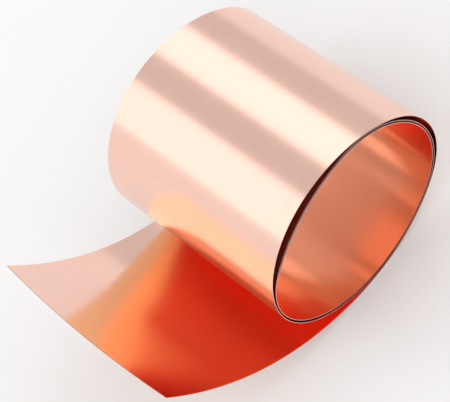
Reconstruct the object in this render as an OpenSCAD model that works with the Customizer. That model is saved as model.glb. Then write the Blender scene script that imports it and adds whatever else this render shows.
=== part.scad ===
// A bare copper strip wound on itself into a loose roll, with no core.
// The roll lies on its side: the strip is as wide as the roll is long, along Y.
// The outer end stands off as a tail towards -X, and the inner end lies free inside.
// The strip is followed as a chain of arcs, each of which starts where the last one ends, in the
// same direction. Each arc is a node of its own. The two free ends flex at hinge lines between
// their arcs, and everything between them keeps its wound shape.
// Z = 0 is the surface that the roll lies on, and X = 0, Y = 0 is the middle of its box.

/* [Strip] */
// Width of the strip, and so the length of the roll
strip_width = 100; // [20:5:300]
// Thickness of the copper
strip_thickness = 0.2; // [0.1:0.02:0.3]

/* [Roll] */
// Mean bend radius of the outer turn
roll_radius = 49; // [35:0.5:80]
// How much less the mean bend radius of each turn is than that of the turn around it
turn_step = 2; // [1.6:0.1:4]
// Outer turn, going up from under the roll: how many turn steps wider (+) or tighter (-) each
// eighth of it bends
outer_rising = [7, -5, -1.75, 3]; // [-7:0.25:10]
// Outer turn, coming down again: the same for its other four eighths
outer_falling = [-0.5, 0, -3, -0.5]; // [-7:0.25:10]
// Middle turn, going up
middle_rising = [5.25, -4.75, 1.75, -5.75]; // [-7:0.25:10]
// Middle turn, coming down, with the flat stretch that stands off the outer turn
middle_falling = [10, -6.5, -2, 0]; // [-7:0.25:10]
// Inner turn, going up
inner_rising = [5.75, -4.5, 1.5, -4]; // [-7:0.25:10]

/* [Tail] */
// Length of strip from where the roll touches down to its outer end
tail_length = 134; // [60:1:160]
// Bend radius of the tail where it leaves the roll
tail_root_radius = 82; // [60:1:150]
// Bend radius of the tail at its outer end
tail_tip_radius = 215; // [100:5:400]

/* [Inner end] */
// Length of the free stretch that ends the strip inside the roll
inner_end_length = 55; // [20:1:60]
// How many turn steps wider than the inner turn's mean the inner end bends where it leaves it
inner_end_root = 8.5; // [2:0.25:15]
// How many turn steps wider than the inner turn's mean the inner end bends at its cut edge
inner_end_tip = 12; // [2:0.25:20]

/* [Hinge lines] */
// Slit left between two stretches that flex on each other
hinge_slit = 0.06; // [0.04:0.01:0.2]

/* [Hidden] */
EIGHTH = 45;
TURN_ARCS = 8;
TAIL_ARCS = 8;
INNER_ARCS = 4;
END_ARCS = 4;

// A place on the strip's middle surface is [x, z, heading], with the heading in degrees from +X
// towards +Z. An arc is [radius, sweep]: it turns left, and a negative sweep follows it backwards.
function after(place, arc) = [
    place[0] + arc[0] * (sin(place[2] + arc[1]) - sin(place[2])),
    place[1] - arc[0] * (cos(place[2] + arc[1]) - cos(place[2])),
    place[2] + arc[1]
];
function places(arcs, start) = [
    for (i = 0, p = start; i <= len(arcs); p = i < len(arcs) ? after(p, arcs[i]) : p, i = i + 1) p
];
function degrees_along(length, radius) = length / radius * 180 / PI;
function arc_length(arc) = arc[0] * abs(arc[1]) * PI / 180;

// A turn's mean radius, with 0 for the outer turn, and its arcs, from how much slack each one has.
function turn_radius(number) = roll_radius - number * turn_step;
function turn(number, slack) = [for (steps = slack) [turn_radius(number) + steps * turn_step, EIGHTH]];
// A free end's arcs, of equal length, whose bend eases evenly from the root radius to the tip's.
function free_end(length, root_radius, tip_radius, count, way) = [
    for (i = [0:count - 1])
        let (share = i / (count - 1), radius = 1 / ((1 - share) / root_radius + share / tip_radius))
        [radius, way * degrees_along(length / count, radius)]
];

// The strip from where it touches down, inwards through the turns to the inner end, and outwards
// along the tail.
inward = concat(
    turn(0, concat(outer_rising, outer_falling)),
    turn(1, concat(middle_rising, middle_falling)),
    turn(2, inner_rising),
    free_end(
        inner_end_length,
        turn_radius(2) + inner_end_root * turn_step,
        turn_radius(2) + inner_end_tip * turn_step,
        END_ARCS,
        1
    )
);
outward = free_end(tail_length, tail_root_radius, tail_tip_radius, TAIL_ARCS + 1, -1);

// Centre of mass of the strip's middle surface, when it starts at the place given.
function centroid(place, arc) =
    let (half = arc[1] / 2, pull = sin(half) / (half * PI / 180))
    [
        place[0] - arc[0] * (sin(place[2]) - pull * sin(place[2] + half)),
        place[1] + arc[0] * (cos(place[2]) - pull * cos(place[2] + half))
    ];
function moments(arcs, start) =
    let (at = places(arcs, start))
    [for (i = [0:len(arcs) - 1]) arc_length(arcs[i]) * centroid(at[i], arcs[i])];
function total(list) = [
    for (i = 0, s = list[0]; i < len(list); i = i + 1, s = i < len(list) ? s + list[i] : s) s
];
function last(list) = list[len(list) - 1];
strip_length = last(total([for (arc = concat(inward, outward)) arc_length(arc)]));
function mass_centre(start) =
    last(total(concat(moments(inward, start), moments(outward, start)))) / strip_length;

// The roll settles where its centre of mass is straight above the line that it lies on. The
// heading at that line is found by halving, between the tail and the first eighth of the turn.
LEVEL = [0, 0, 0];
SEARCH = [-20, 40];
SEARCH_STEPS = 30;
function back_to(heading, place, i = 0) =
    let (next = after(place, outward[i]))
    next[2] <= heading || i == len(outward) - 1
        ? after(place, [outward[i][0], heading - place[2]])
        : back_to(heading, next, i + 1);
function place_with(heading) =
    heading >= 0 ? after(LEVEL, [inward[0][0], heading]) : back_to(heading, LEVEL);
level_centre = mass_centre(LEVEL);
function ahead(heading) =
    let (p = place_with(heading))
    (level_centre[0] - p[0]) * cos(heading) + (level_centre[1] - p[1]) * sin(heading);
function settled(low, high, steps) =
    let (middle = (low + high) / 2)
    steps == 0 ? middle
        : ahead(middle) > 0 ? settled(middle, high, steps - 1)
        : settled(low, middle, steps - 1);
touch_heading = settled(SEARCH[0], SEARCH[1], SEARCH_STEPS);

// The start of both chains, turned so that the roll lies level, and moved to the box's middle.
function turned(p, angle) = [
    p[0] * cos(angle) - p[1] * sin(angle),
    p[0] * sin(angle) + p[1] * cos(angle)
];
touch = turned(place_with(touch_heading), -touch_heading);
SAMPLES = 40;
function reach(arcs, start) =
    let (at = places(arcs, start))
    [
        for (i = [0:len(arcs) - 1], s = [0:SAMPLES])
            after(at[i], [arcs[i][0], arcs[i][1] * s / SAMPLES])[0]
    ];
all_x = concat(reach(inward, [0, 0, -touch_heading]), reach(outward, [0, 0, -touch_heading]));
start = [
    -(min(all_x) + max(all_x)) / 2,
    strip_thickness / 2 - touch[1],
    -touch_heading
];
inward_places = places(inward, start);
outward_places = places(outward, start);

// One stretch of strip along an arc. cut_start and cut_end are the lengths left off its two ends.
module stretch(place, arc, cut_start = 0, cut_end = 0) {
    radius = arc[0];
    from = degrees_along(cut_start, radius);
    to = arc[1] - degrees_along(cut_end, radius);
    translate([place[0] - radius * sin(place[2]), 0, place[1] + radius * cos(place[2])])
        rotate([90, 0, 0])
            rotate([0, 0, place[2] - 90 + from])
                rotate_extrude(angle = to - from, $fn = 200)
                    translate([radius, 0])
                        square([strip_thickness, strip_width], center = true);
}

// The tail's arcs run outwards, so each one is drawn from its far end back to its near end.
module tail_stretch(i, cut_start, cut_end) {
    stretch(outward_places[i + 1], [outward[i][0], -outward[i][1]], cut_start, cut_end);
}

// The stretch that the roll lies on, between the outer turn and the tail's first hinge line.
module tail_root() {
    color("#C9502F")
        tail_stretch(0, hinge_slit / 2, 0);
}

// The flexing tail, with 1 next to the root and the last one at the strip's outer end.
module tail(number) {
    color("#D9694A")
        tail_stretch(number, number == TAIL_ARCS ? 0 : hinge_slit / 2, hinge_slit / 2);
}

// Eighths of the outer turn, with 1 under the roll, going up on the right.
module outer_turn(number) {
    color("#E8B9A2")
        stretch(inward_places[number - 1], inward[number - 1]);
}

// Eighths of the middle turn, inside the outer one.
module middle_turn(number) {
    i = TURN_ARCS + number - 1;
    color("#D98A6B")
        stretch(inward_places[i], inward[i]);
}

// Half of the inner turn, up to the first hinge line of the inner end.
module inner_turn(number) {
    i = 2 * TURN_ARCS + number - 1;
    color("#CC6B4C")
        stretch(inward_places[i], inward[i], 0, number == INNER_ARCS ? hinge_slit / 2 : 0);
}

// The flexing inner end, with 1 next to the inner turn and the last one at the cut edge.
module inner_end(number) {
    i = 2 * TURN_ARCS + INNER_ARCS + number - 1;
    color("#E07A52")
        stretch(inward_places[i], inward[i], hinge_slit / 2, number == END_ARCS ? 0 : hinge_slit / 2);
}

for (i = [TAIL_ARCS:-1:1])
    tail(i);
tail_root();
for (i = [1:TURN_ARCS])
    outer_turn(i);
for (i = [1:TURN_ARCS])
    middle_turn(i);
for (i = [1:INNER_ARCS])
    inner_turn(i);
for (i = [1:END_ARCS])
    inner_end(i);
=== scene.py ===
"""A loose roll of thin copper strip with a free tail, on a pale studio floor."""

import math

import bmesh
import bpy
import numpy as np
from mathutils import Matrix, Vector


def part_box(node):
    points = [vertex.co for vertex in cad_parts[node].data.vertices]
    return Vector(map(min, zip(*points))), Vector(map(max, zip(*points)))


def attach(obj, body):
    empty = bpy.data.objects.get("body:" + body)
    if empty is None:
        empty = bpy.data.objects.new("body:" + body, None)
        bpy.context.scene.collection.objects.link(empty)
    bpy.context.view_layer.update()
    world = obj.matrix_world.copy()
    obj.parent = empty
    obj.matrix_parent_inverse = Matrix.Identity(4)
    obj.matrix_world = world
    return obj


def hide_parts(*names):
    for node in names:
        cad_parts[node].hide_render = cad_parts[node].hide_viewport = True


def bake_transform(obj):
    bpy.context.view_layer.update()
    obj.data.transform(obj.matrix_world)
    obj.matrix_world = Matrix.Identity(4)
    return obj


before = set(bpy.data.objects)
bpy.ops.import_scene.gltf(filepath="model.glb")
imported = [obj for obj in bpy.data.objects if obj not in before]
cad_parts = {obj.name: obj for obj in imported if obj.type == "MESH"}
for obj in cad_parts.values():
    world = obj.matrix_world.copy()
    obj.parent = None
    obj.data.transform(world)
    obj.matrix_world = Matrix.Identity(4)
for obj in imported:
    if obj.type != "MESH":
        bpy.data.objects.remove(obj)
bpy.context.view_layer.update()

MM = 0.001
SAME_PLACE = 0.001 * MM  # places nearer than this are one place

# How the arcs of the CAD stretches become one smooth line
PATH_STEP = 0.25 * MM  # from one point of the line to the next
EASE_LENGTH = 16 * MM  # over which one curvature turns into the next
JOINT_REACH = 0.1 * MM  # across the hinge line between two stretches
TIP_REACH = 0.3 * MM  # over the corners of a free end

# The strip as it is slit, cut off and wound
FACET_LENGTH = 0.8 * MM  # of the longest faces along the strip
SEAM_STEP = 0.04 * MM  # narrow row beside a seam, which keeps the shading even up to it
ROWS_ACROSS = 20
EDGE_ROUNDING = 0.025 * MM
EDGE_SEGMENTS = 3
EDGE_SUPPORT = 0.25 * MM  # narrow row beside a rounded edge
TAIL_CROSS_BOW = 2.4 * MM  # how hollow the tail's end is across its width
CROSS_BOW_REACH = 42 * MM  # how far from the tail's end the hollow fades out

UNROLLED = "unrolled"  # the UV map: metres along and across the flat strip
CONCAVE_FACE, CONVEX_FACE, SLIT_EDGE, SHEARED_END = range(4)  # places in STRIP_MATERIALS
BROAD_FACE_RISE = 0.5  # a face whose normal rises more than this belongs to a broad face


# --- The line that the strip follows -------------------------------------------------


def numbered(prefix):
    """The CAD stretches prefix_1, prefix_2 and so on, in order."""
    count = sum(name.startswith(prefix + "_") and name[-1].isdigit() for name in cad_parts)
    return [f"{prefix}_{number}" for number in range(1, count + 1)]


TAIL = numbered("tail")
TURNS = numbered("outer_turn") + numbered("middle_turn") + numbered("inner_turn")
INNER_END = numbered("inner_end")
STRETCHES = TAIL[::-1] + ["tail_root"] + TURNS + INNER_END


def profile(name):
    """The corners of a CAD stretch, seen along the roll's axis."""
    corners = np.array([v.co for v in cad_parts[name].data.vertices], float)[:, [0, 2]]
    return np.unique(corners, axis=0)


def cross_section(corners):
    """Middle, heading and thickness of the strip where the given corners lie across it."""
    middle = corners.mean(0)
    through = np.linalg.svd(corners - middle)[2][0]
    thickness = np.ptp((corners - middle) @ through)
    return middle, math.atan2(through[0], -through[1]), thickness


def joint_between(first, second):
    """The cross-section where two CAD stretches meet."""
    corners, others = profile(first), profile(second)
    near = np.linalg.norm(corners[:, None] - others[None], axis=2) < JOINT_REACH
    return cross_section(np.vstack([corners[near.any(1)], others[near.any(0)]]))


def free_end_of(name, neighbour):
    """The cross-section at the end of a CAD stretch that lies away from its neighbour."""
    corners = profile(name)
    away = np.linalg.norm(corners - joint_between(name, neighbour)[0], axis=1)
    tip = corners[away.argmax()]
    return cross_section(corners[np.linalg.norm(corners - tip, axis=1) < TIP_REACH])


def cross_sections():
    """The strip's cross-sections at its free ends and joints, from the tail's end inwards."""
    outer_tip = free_end_of(STRETCHES[0], STRETCHES[1])
    joints = [joint_between(*pair) for pair in zip(STRETCHES, STRETCHES[1:])]
    inner_tip = free_end_of(STRETCHES[-1], STRETCHES[-2])
    return [outer_tip, *joints, inner_tip]


def eased(heading, step):
    """The heading along the strip, with each change of curvature spread over EASE_LENGTH."""
    half = int(EASE_LENGTH / 2 / step)
    before = heading[0] - (heading[1] - heading[0]) * np.arange(half, 0, -1)
    after = heading[-1] + (heading[-1] - heading[-2]) * np.arange(1, half + 1)
    padded = np.concatenate([before, heading, after])
    return np.convolve(padded, np.ones(2 * half + 1) / (2 * half + 1), "valid")


def wound_line():
    """The strip's middle line from the tail's free end inwards: distances along it, points and
    headings there, the strip's gauge, and the span of each CAD stretch along it."""
    middles, headings, gauges = (np.array(column) for column in zip(*cross_sections()))
    chords = np.diff(middles, axis=0)
    turns = np.diff(headings) % math.pi
    lengths = np.linalg.norm(chords, axis=1) * (turns / 2) / np.sin(turns / 2)
    ends = np.concatenate([[0], np.cumsum(lengths)])
    turned = np.concatenate([[0], np.cumsum(turns)])
    backwards = chords[0] @ [math.cos(headings[0]), math.sin(headings[0])] < 0
    first_heading = headings[0] + (math.pi if backwards else 0)
    count = int(round(ends[-1] / PATH_STEP))
    along = np.linspace(0, ends[-1], count + 1)
    step = along[1]
    heading = eased(np.interp(along, ends, turned) + first_heading, step)
    halfway = (heading[1:] + heading[:-1]) / 2
    moves = step * np.column_stack([np.cos(halfway), np.sin(halfway)])
    points = middles[0] + np.vstack([[0, 0], np.cumsum(moves, axis=0)])
    return along, points, heading, np.median(gauges), dict(zip(STRETCHES, zip(ends, ends[1:])))


ALONG, POINTS, HEADING, GAUGE, SPANS = wound_line()
OUTER_TIP, INNER_TIP = ALONG[0], ALONG[-1]
NEAR_EDGE, FAR_EDGE = (corner.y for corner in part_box("tail_root"))
WIDTH = FAR_EDGE - NEAR_EDGE
MIDDLE_Y = (FAR_EDGE + NEAR_EDGE) / 2


def middle_of(name):
    """Distance along the strip of the middle of a CAD stretch."""
    return sum(SPANS[name]) / 2


def place_at(distance):
    """The point in space, halfway across the strip, at a distance along it."""
    x, z = (np.interp(distance, ALONG, POINTS[:, axis]) for axis in (0, 1))
    return Vector((x, MIDDLE_Y, z))


# --- Cutting and winding the strip ---------------------------------------------------


def score(mesh, point, direction):
    """Divides the faces of a flat piece of strip along a plane through a point."""
    everything = mesh.verts[:] + mesh.edges[:] + mesh.faces[:]
    bmesh.ops.bisect_plane(
        mesh, geom=everything, dist=SAME_PLACE, plane_co=point, plane_no=direction,
    )


def is_free(end):
    """Whether an end of a piece is one of the strip's own two ends, and not a seam."""
    return end in (OUTER_TIP, INNER_TIP)


def is_cut(edge, first, last):
    """Whether the slitter or the shears left this edge of a flat piece, rather than a seam."""
    middle = (edge.verts[0].co + edge.verts[1].co) / 2
    at_side = abs(abs(middle.y) - WIDTH / 2) < SAME_PLACE
    at_face = abs(abs(middle.z) - GAUGE / 2) < SAME_PLACE
    sheared = any(is_free(end) and abs(middle.x - end) < SAME_PLACE for end in (first, last))
    return (at_side and at_face) or sheared


def is_long(edge):
    """Whether an edge runs along the strip and is longer than a facet."""
    run = edge.verts[0].co - edge.verts[1].co
    return abs(run.x) > FACET_LENGTH and abs(run.y) + abs(run.z) < SAME_PLACE


def flat_piece(first, last):
    """A flat length of strip lying along X, from one distance along it to another."""
    mesh = bmesh.new()
    bmesh.ops.create_cube(mesh, size=1)
    bmesh.ops.scale(mesh, vec=(last - first, WIDTH, GAUGE), verts=mesh.verts)
    bmesh.ops.translate(mesh, vec=((first + last) / 2, 0, 0), verts=mesh.verts)
    cut = [edge for edge in mesh.edges if is_cut(edge, first, last)]
    bmesh.ops.bevel(
        mesh, geom=cut, offset=EDGE_ROUNDING, affect="EDGES", segments=EDGE_SEGMENTS,
        profile=0.5, material=-1,
    )
    inside = WIDTH / 2 - EDGE_SUPPORT
    for offset in np.linspace(-inside, inside, ROWS_ACROSS + 1):
        score(mesh, (0, offset, 0), (0, 1, 0))
    for end, inwards in ((first, 1), (last, -1)):
        row = EDGE_SUPPORT if is_free(end) else SEAM_STEP
        score(mesh, (end + inwards * row, 0, 0), (1, 0, 0))
    facets = int((last - first) / FACET_LENGTH)
    long_edges = [edge for edge in mesh.edges if is_long(edge)]
    bmesh.ops.subdivide_edges(mesh, edges=long_edges, cuts=facets, use_grid_fill=True)
    return mesh


def finish_of(normal):
    """The material of a face of the flat strip, from the way that it faces."""
    along, across, up = normal
    if abs(up) > BROAD_FACE_RISE:
        return CONCAVE_FACE if up > 0 else CONVEX_FACE
    return SLIT_EDGE if abs(across) > abs(along) else SHEARED_END


def finish_faces(mesh, first, last):
    """Gives each face its material and its place on the unrolled strip, and marks the seams sharp."""
    unrolled = mesh.loops.layers.uv.new(UNROLLED)
    for face in mesh.faces:
        face.material_index = finish_of(face.normal)
        face.smooth = True
        for loop in face.loops:
            loop[unrolled].uv = loop.vert.co.xy
    seams = [end for end in (first, last) if not is_free(end)]
    for edge in mesh.edges:
        if any(all(abs(v.co.x - seam) < SAME_PLACE for v in edge.verts) for seam in seams):
            edge.smooth = False


def cross_bow(distance, across):
    """How far the strip stands off its wound line, as its tail springs hollow across its width."""
    left = np.clip(1 - distance / CROSS_BOW_REACH, 0, 1)
    return -TAIL_CROSS_BOW * left**2 * (1 - (2 * across / WIDTH) ** 2)


def wind(mesh):
    """Lays a flat piece of strip on the wound line."""
    flat = np.array([v.co for v in mesh.verts], float)
    distance, across = flat[:, 0], flat[:, 1]
    x = np.interp(distance, ALONG, POINTS[:, 0])
    z = np.interp(distance, ALONG, POINTS[:, 1])
    heading = np.interp(distance, ALONG, HEADING)
    lift = flat[:, 2] + cross_bow(distance, across)
    x = x - lift * np.sin(heading)
    z = z + lift * np.cos(heading)
    for vert, place in zip(mesh.verts, np.column_stack([x, across + MIDDLE_Y, z])):
        vert.co = place


def strip_piece(name, first, last, nodes):
    """One wound piece of the strip, which stands for the named CAD stretches."""
    mesh = flat_piece(first, last)
    finish_faces(mesh, first, last)
    wind(mesh)
    data = bpy.data.meshes.new(name)
    mesh.to_mesh(data)
    mesh.free()
    piece = bpy.data.objects.new(name, data)
    bpy.context.scene.collection.objects.link(piece)
    for material in STRIP_MATERIALS:
        data.materials.append(material)
    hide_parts(*nodes)
    return piece


def rolled_turns():
    """The wound part of the strip, which keeps its shape."""
    first, last = middle_of("tail_root"), middle_of(TURNS[-1])
    piece = strip_piece("rolled_turns", first, last, ["tail_root"] + TURNS)
    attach(piece, "coil")


def springy_end(prefix, names, root, tip):
    """An end of the strip, in one piece across each line where one CAD stretch meets the next."""
    previous = root
    for number, name in enumerate(names, 1):
        near = middle_of(previous)
        far = tip if name == names[-1] else middle_of(name)
        piece = strip_piece(f"{prefix}_{number}", min(near, far), max(near, far), [name])
        place_at(middle_of(name))
        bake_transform(piece)
        previous = name


# --- Materials -----------------------------------------------------------------------

# Inputs and output of a Mix node that stand for colours
FIRST_COLOUR, SECOND_COLOUR, MIXED_COLOUR = 6, 7, 2

# Colours of the copper
BRIGHT_COPPER = (0.955, 0.638, 0.538, 1)
WARM_COPPER = (0.93, 0.585, 0.475, 1)
# painted shade: the darker, redder colour of the inner face on the turns, for the dim light deep in the
# roll
PAINTED_TURNS_SHADE = (0.81, 0.38, 0.29, 1)
# the slit edges' colour between the nicks is a painted highlight, paler and brighter than copper's own
PAINTED_SLIT_HIGHLIGHT, NICKED_SLIT = (0.98, 0.74, 0.66, 1), (0.92, 0.60, 0.51, 1)
# painted shade: the sheared ends are painted nearly black, far darker than copper, over a little dark
# oxide
PAINTED_SHEARING_SHADE, NICKED_SHEARING_SHADE = (0.16, 0.05, 0.04, 1), (0.07, 0.02, 0.02, 1)

# Colours of its second, third, fourth and all further reflections
LATER_ON_THE_INSIDE = [
    (0.94, 0.68, 0.50, 1),
    (0.92, 0.52, 0.35, 1),
    (0.90, 0.30, 0.22, 1),
    (0.985, 0.50, 0.38, 1),
]
LATER_ON_THE_OUTSIDE = [
    (0.955, 0.64, 0.38, 1),
    (0.85, 0.38, 0.26, 1),
    (0.75, 0.05, 0.04, 1),
    (0.985, 0.42, 0.30, 1),
]

# How strongly the rolling lines, bands, handling marks and nicks show
BAND_TINT, MARK_TINT = 0.6, 0.4
LINE_ROUGHNESS, MARK_ROUGHNESS = 0.08, 0.06
CUT_ROUGHNESS, NICK_ROUGHNESS = 0.25, 0.2
RELIEF_DEPTH, BAND_RELIEF = 0.0015 * MM, 4
NOISE_MIDDLE = 0.5


class Socket:
    """An output of a material's nodes. Arithmetic on it adds Math nodes."""

    def __init__(self, tree, output=None):
        self.tree, self.output = tree, output

    def node(self, kind, settings=None, sockets=None, output=0):
        """Adds any node: its settings first, then the values or links of its sockets."""
        made = self.tree.nodes.new(kind)
        for name, value in (settings or {}).items():
            if name == "stops":
                fill_ramp(made.color_ramp, value)
            else:
                setattr(made, name, value)
        for name, value in (sockets or {}).items():
            if isinstance(value, Socket):
                self.tree.links.new(value.output, made.inputs[name])
            else:
                made.inputs[name].default_value = value
        return Socket(self.tree, made.outputs[output] if made.outputs else None)

    def maths(self, operation, first, second):
        """Adds a Math node."""
        return self.node("ShaderNodeMath", {"operation": operation}, {0: first, 1: second})

    def __add__(self, other):
        return self.maths("ADD", self, other)

    def __radd__(self, other):
        return self.maths("ADD", other, self)

    def __sub__(self, other):
        return self.maths("SUBTRACT", self, other)

    def __rsub__(self, other):
        return self.maths("SUBTRACT", other, self)

    def __mul__(self, other):
        return self.maths("MULTIPLY", self, other)

    def __rmul__(self, other):
        return self.maths("MULTIPLY", other, self)


def fill_ramp(ramp, stops):
    """Sets a colour ramp's stops from pairs of place and colour. A new ramp has two already."""
    for place, _ in stops[2:]:
        ramp.elements.new(place)
    for element, (place, colour) in zip(ramp.elements, stops):
        element.position = place
        element.color = colour


def new_material(name):
    """An empty material and a start for its nodes."""
    material = bpy.data.materials.new(name)
    material.use_nodes = True
    material.node_tree.nodes.clear()
    return material, Socket(material.node_tree)


def streaks(start, along, across, detail):
    """Noise drawn out along the strip: how many features to the metre each way."""
    unrolled = start.node("ShaderNodeUVMap", {"uv_map": UNROLLED})
    stretched = start.node("ShaderNodeMapping", None, {"Vector": unrolled, "Scale": (along, across, 1)})
    return start.node(
        "ShaderNodeTexNoise", {"noise_dimensions": "2D"},
        {"Vector": stretched, "Scale": 1, "Detail": detail, "Roughness": 0.55},
    )


def blend_colour(start, factor, first, second):
    """One colour turning into another."""
    return start.node(
        "ShaderNodeMix", {"data_type": "RGBA"},
        {"Factor": factor, FIRST_COLOUR: first, SECOND_COLOUR: second}, output=MIXED_COLOUR,
    )


def paint_shade_on_the_turns(start, fresh):
    """Copper that is fresh on the tail and is painted darker and redder where the strip winds into the
    roll: painted shade for the dim light inside the roll.
    """
    unrolled = start.node("ShaderNodeUVMap", {"uv_map": UNROLLED})
    distance = start.node("ShaderNodeSeparateXYZ", None, {"Vector": unrolled})
    painted_shade = start.node(
        "ShaderNodeMapRange", {"interpolation_type": "SMOOTHSTEP"},
        {"Value": distance, "From Min": SPANS["tail_root"][0], "From Max": SPANS["outer_turn_2"][0]},
    )
    return blend_colour(start, painted_shade, fresh, PAINTED_TURNS_SHADE)


def deepened(start, once, later):
    """Copper that keeps its own colour where it is seen directly. Seen in other copper, it takes
    the later colour for that reflection, which makes the gap under the roll glow deep red."""
    depth = start.node("ShaderNodeLightPath", output="Glossy Depth")
    stops = [(number / len(later), colour) for number, colour in enumerate(later, 1)]
    again = start.node("ShaderNodeValToRGB", {"stops": stops}, {"Fac": depth * (1 / len(later))})
    first_time = start.maths("LESS_THAN", depth, 1)
    return blend_colour(start, first_time, again, once)


def rolled_copper(name, later, roughness_level, shaded_turns):
    """Bright cold-rolled copper: fine rolling lines, softer bands and faint handling marks."""
    material, start = new_material(name)
    lines = streaks(start, along=6, across=1400, detail=3)
    bands = streaks(start, along=1.5, across=110, detail=2)
    marks = streaks(start, along=28, across=34, detail=4)
    tint = bands * BAND_TINT + marks * MARK_TINT
    fresh = blend_colour(start, tint, BRIGHT_COPPER, WARM_COPPER)
    # on the inner face, painted shade darkens and reddens the turns of the roll
    once = paint_shade_on_the_turns(start, fresh) if shaded_turns else fresh
    line_part = (lines - NOISE_MIDDLE) * LINE_ROUGHNESS
    mark_part = (marks - NOISE_MIDDLE) * MARK_ROUGHNESS
    height = lines + bands * BAND_RELIEF
    relief = start.node(
        "ShaderNodeBump", None, {"Strength": 0.6, "Distance": RELIEF_DEPTH, "Height": height},
    )
    copper = start.node(
        "ShaderNodeBsdfPrincipled", None,
        {
            "Base Color": deepened(start, once, later),
            "Metallic": 1.0,
            "Roughness": roughness_level + line_part + mark_part,
            "Normal": relief,
        },
    )
    start.node("ShaderNodeOutputMaterial", None, {"Surface": copper})
    return material


def cut_copper(name, clean, nicked):
    """A cut edge of the strip, with fine nicks, rougher than the rolled faces. Between the nicks its
    colour is painted light: a painted highlight on the slit edges and painted shade on the sheared
    ends.
    """
    material, start = new_material(name)
    nicks = streaks(start, along=900, across=900, detail=2)
    copper = start.node(
        "ShaderNodeBsdfPrincipled", None,
        {
            "Base Color": blend_colour(start, nicks, clean, nicked),
            "Metallic": 1.0,
            "Roughness": CUT_ROUGHNESS + nicks * NICK_ROUGHNESS,
        },
    )
    start.node("ShaderNodeOutputMaterial", None, {"Surface": copper})
    return material


STRIP_MATERIALS = [
    rolled_copper("bright_inner_face", LATER_ON_THE_INSIDE, roughness_level=0.15, shaded_turns=True),
    rolled_copper("bright_outer_face", LATER_ON_THE_OUTSIDE, roughness_level=0.20, shaded_turns=False),
    cut_copper("slit_edge", PAINTED_SLIT_HIGHLIGHT, NICKED_SLIT),
    cut_copper("sheared_end", PAINTED_SHEARING_SHADE, NICKED_SHEARING_SHADE),
]


# --- Studio --------------------------------------------------------------------------

FLOOR_REACH = 4  # metres from its middle to its sides
PANEL_LENGTH, PANEL_DISTANCE = 4, 1.6  # metres
ROOM_BRIGHTNESS = 0.72
REFLECTIONS_FOLLOWED = 24  # light is thrown back many times in the gaps between the turns


def studio_floor():
    """A plain pale floor."""
    mesh = bmesh.new()
    bmesh.ops.create_grid(mesh, x_segments=1, y_segments=1, size=FLOOR_REACH)
    data = bpy.data.meshes.new("studio_floor")
    mesh.to_mesh(data)
    mesh.free()
    floor = bpy.data.objects.new("studio_floor", data)
    bpy.context.scene.collection.objects.link(floor)
    material, start = new_material("pale_floor")
    paint = start.node(
        "ShaderNodeBsdfPrincipled", None,
        {"Base Color": (0.87, 0.87, 0.87, 1), "Roughness": 0.9, "Specular IOR Level": 0.0},
    )
    start.node("ShaderNodeOutputMaterial", None, {"Surface": paint})
    data.materials.append(material)


def softbox(name, angle, spread, brightness):
    """A long panel of even light over the roll and along its axis, at an angle up from +X. Seen
    from the roll it is a spread of degrees wide, and its brightness is its radiance."""
    width = 2 * PANEL_DISTANCE * math.tan(math.radians(spread / 2))
    light = bpy.data.lights.new(name, "AREA")
    light.shape = "RECTANGLE"
    light.size, light.size_y = width, PANEL_LENGTH
    light.energy = brightness * math.pi * width * PANEL_LENGTH
    holder = bpy.data.objects.new(name, light)
    bpy.context.scene.collection.objects.link(holder)
    turn = Matrix.Rotation(math.radians(90 - angle), 4, "Y")
    holder.matrix_world = turn @ Matrix.Translation((0, 0, PANEL_DISTANCE))


def studio_light():
    """Two bright soft panels with a gap between them and a faint one low down on the left, in
    an evenly lit white room."""
    softbox("right_softbox", angle=51.5, spread=38, brightness=0.8)
    softbox("left_softbox", angle=128, spread=48, brightness=0.72)
    softbox("low_softbox", angle=165, spread=30, brightness=0.25)
    world = bpy.data.worlds.new("white_room")
    world.use_nodes = True
    sky = world.node_tree.nodes["Background"]
    sky.inputs["Color"].default_value = (1, 1, 1, 1)
    sky.inputs["Strength"].default_value = ROOM_BRIGHTNESS
    bpy.context.scene.world = world


def camera():
    """The camera, above the near end of the roll, looking down on it and tilted to one side."""
    place = Vector((-0.07466, -0.372, 0.66291))
    forward = Vector((0.10597, 0.51976, -0.84771))
    tilt = math.radians(-40.7185)
    lens = bpy.data.cameras.new("camera")
    lens.sensor_width, lens.lens = 36, 135.3
    lens.clip_start, lens.clip_end = 0.05, 20
    holder = bpy.data.objects.new("camera", lens)
    bpy.context.scene.collection.objects.link(holder)
    level = forward.to_track_quat("-Z", "Y").to_matrix().to_4x4()
    holder.matrix_world = Matrix.Translation(place) @ level @ Matrix.Rotation(tilt, 4, "Z")
    bpy.context.scene.camera = holder


camera()
rolled_turns()
springy_end("tail_bend", TAIL, root="tail_root", tip=OUTER_TIP)
springy_end("inner_bend", INNER_END, root=TURNS[-1], tip=INNER_TIP)
studio_floor()
studio_light()
bpy.context.scene.view_settings.view_transform = "Standard"
bpy.context.scene.cycles.max_bounces = REFLECTIONS_FOLLOWED
bpy.context.scene.cycles.glossy_bounces = REFLECTIONS_FOLLOWED
